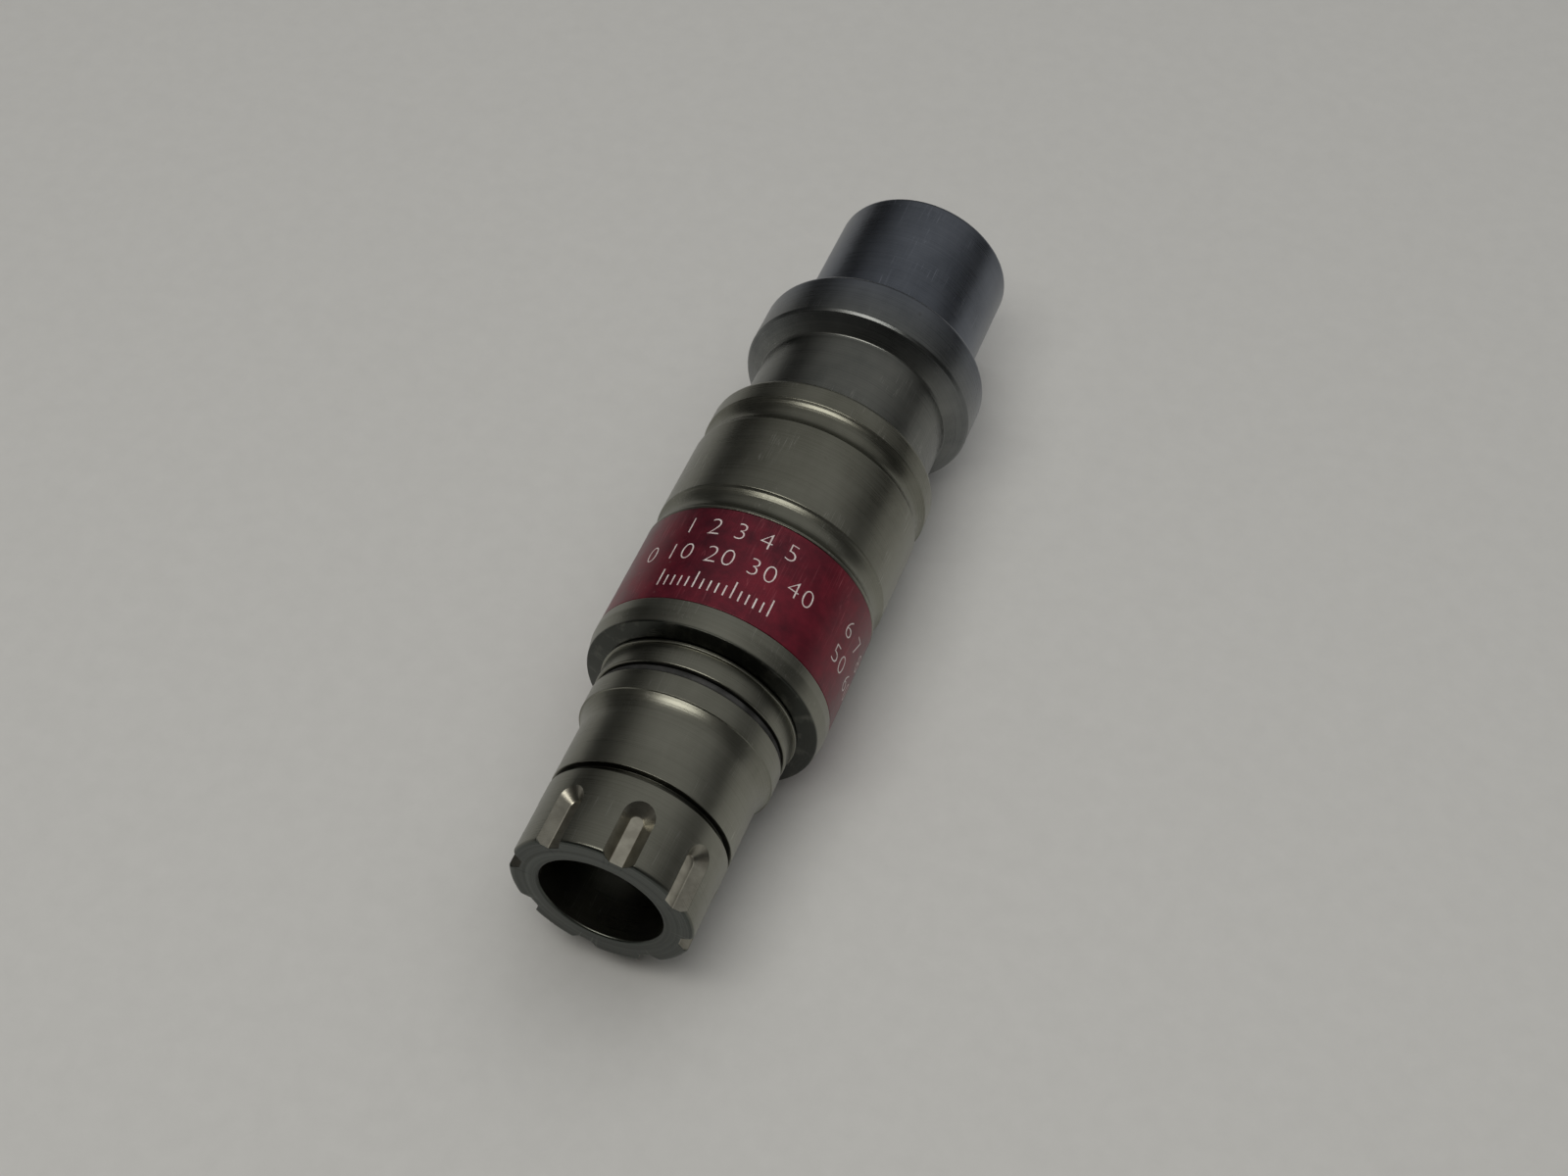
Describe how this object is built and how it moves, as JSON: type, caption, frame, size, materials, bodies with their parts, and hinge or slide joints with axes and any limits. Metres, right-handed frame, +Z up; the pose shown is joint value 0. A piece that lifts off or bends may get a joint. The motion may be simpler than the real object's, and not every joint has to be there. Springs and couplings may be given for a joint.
{
  "type": "geared quick-release shaft coupling",
  "caption": "Turned steel shaft coupling: slotted bayonet input barrel, housing with a reduction gear set and a red band, and a flanged sliding sleeve over a ball-lock chuck.",
  "frame": {"origin": "middle of the coupling's length, on its shaft axis", "axes": "+Y along the shaft axis from the input barrel to the chuck nose, +Z up as the coupling lies, +X to the right seen from the input end"},
  "size_m": [0.0326, 0.1144, 0.0326],
  "materials": {
    "satin_steel": "fine turned satin",
    "dark_steel": "smooth blue grey",
    "hardened_steel": "ground",
    "bright_steel": "polished",
    "spring_steel": "drawn",
    "bronze": "sintered",
    "cage_brass": "machined",
    "black_rubber": "matt",
    "red_band": "anodised, engraved"
  },
  "bodies": {
    "housing": {"gear_housing": "satin_steel", "bayonet_barrel": "satin_steel", "barrel_oring": "black_rubber", "input_shaft_seal": "black_rubber", "input_bearing_outer_race": "bright_steel", "input_retaining_ring": "spring_steel", "colour_band": "red_band", "ring_gear": "hardened_steel", "ring_gear_dowel_1": "hardened_steel", "ring_gear_dowel_2": "hardened_steel", "preload_shim": "spring_steel", "ring_gear_spacer": "hardened_steel", "rear_bearing_outer_race": "bright_steel", "outer_race_spacer": "bright_steel", "front_bearing_outer_race": "bright_steel", "front_retaining_ring": "spring_steel", "front_shaft_seal": "black_rubber"},
    "input": {"input_shaft": "hardened_steel", "input_bearing_inner_race": "bright_steel", "input_shaft_circlip": "spring_steel", "sun_gear": "hardened_steel", "sun_gear_pin": "hardened_steel"},
    "input_cage": {"input_bearing_balls": "cage_brass"},
    "output": {"output_spindle": "hardened_steel", "planet_carrier": "hardened_steel", "carrier_washer": "bright_steel", "carrier_screw": "dark_steel", "planet_pin_1": "hardened_steel", "planet_pin_2": "hardened_steel", "planet_pin_3": "hardened_steel", "rear_bearing_inner_race": "bright_steel", "inner_race_spacer": "bright_steel", "front_bearing_inner_race": "bright_steel", "spring_seat_ring": "spring_steel", "sleeve_spring": "spring_steel", "sleeve_key_pin": "hardened_steel", "nose_retaining_ring": "spring_steel"},
    "rear_cage": {"rear_bearing_balls": "cage_brass"},
    "front_cage": {"front_bearing_balls": "cage_brass"},
    "planet_1": {"planet_gear_1": "hardened_steel", "planet_bush_1": "bronze"},
    "planet_2": {"planet_gear_2": "hardened_steel", "planet_bush_2": "bronze"},
    "planet_3": {"planet_gear_3": "hardened_steel", "planet_bush_3": "bronze"},
    "sleeve": {"release_sleeve": "dark_steel", "lock_cam_ring": "hardened_steel"},
    "ball_1": {"lock_ball_1": "bright_steel"},
    "ball_2": {"lock_ball_2": "bright_steel"},
    "ball_3": {"lock_ball_3": "bright_steel"}
  },
  "joints": [
    {"name": "output_spin", "type": "hinge", "parent": "housing", "child": "output", "pos_m": [0, 0, 0], "axis": [0, 1, 0], "continuous": true},
    {"name": "input_spin", "type": "hinge", "parent": "housing", "child": "input", "pos_m": [0, 0, 0], "axis": [0, 1, 0], "continuous": true},
    {"name": "input_cage_spin", "type": "hinge", "parent": "housing", "child": "input_cage", "pos_m": [0, -0.0302, 0], "axis": [0, 1, 0], "continuous": true},
    {"name": "rear_cage_spin", "type": "hinge", "parent": "housing", "child": "rear_cage", "pos_m": [0, -0.0032, 0], "axis": [0, 1, 0], "continuous": true},
    {"name": "front_cage_spin", "type": "hinge", "parent": "housing", "child": "front_cage", "pos_m": [0, 0.0053, 0], "axis": [0, 1, 0], "continuous": true},
    {"name": "planet_1_spin", "type": "hinge", "parent": "output", "child": "planet_1", "pos_m": [0, -0.0158, 0.0072], "axis": [0, 1, 0], "continuous": true},
    {"name": "planet_2_spin", "type": "hinge", "parent": "output", "child": "planet_2", "pos_m": [0.00624, -0.0158, -0.0036], "axis": [0, 1, 0], "continuous": true},
    {"name": "planet_3_spin", "type": "hinge", "parent": "output", "child": "planet_3", "pos_m": [-0.00624, -0.0158, -0.0036], "axis": [0, 1, 0], "continuous": true},
    {"name": "sleeve_slide", "type": "slide", "parent": "output", "child": "sleeve", "axis": [0, -1, 0], "range_m": [0, 0.004], "stiffness_N_per_m": 900, "springref_m": -0.004, "deforming": ["sleeve_spring"]},
    {"name": "lock_ball_1_slide", "type": "slide", "parent": "output", "child": "ball_1", "axis": [0, 0, 1], "range_m": [0, 0.00105]},
    {"name": "lock_ball_2_slide", "type": "slide", "parent": "output", "child": "ball_2", "axis": [0.866, 0, -0.5], "range_m": [0, 0.00105]},
    {"name": "lock_ball_3_slide", "type": "slide", "parent": "output", "child": "ball_3", "axis": [-0.866, 0, -0.5], "range_m": [0, 0.00105]}
  ],
  "couplings": [
    {"joint": "input_spin", "follows": "output_spin", "ratio": 4},
    {"joint": "input_cage_spin", "follows": "output_spin", "ratio": 1.6},
    {"joint": "rear_cage_spin", "follows": "output_spin", "ratio": 0.4},
    {"joint": "front_cage_spin", "follows": "output_spin", "ratio": 0.4},
    {"joint": "planet_1_spin", "follows": "output_spin", "ratio": -3},
    {"joint": "planet_2_spin", "follows": "output_spin", "ratio": -3},
    {"joint": "planet_3_spin", "follows": "output_spin", "ratio": -3},
    {"joint": "lock_ball_1_slide", "follows": "sleeve_slide", "ratio": 0.2625},
    {"joint": "lock_ball_2_slide", "follows": "sleeve_slide", "ratio": 0.2625},
    {"joint": "lock_ball_3_slide", "follows": "sleeve_slide", "ratio": 0.2625}
  ]
}
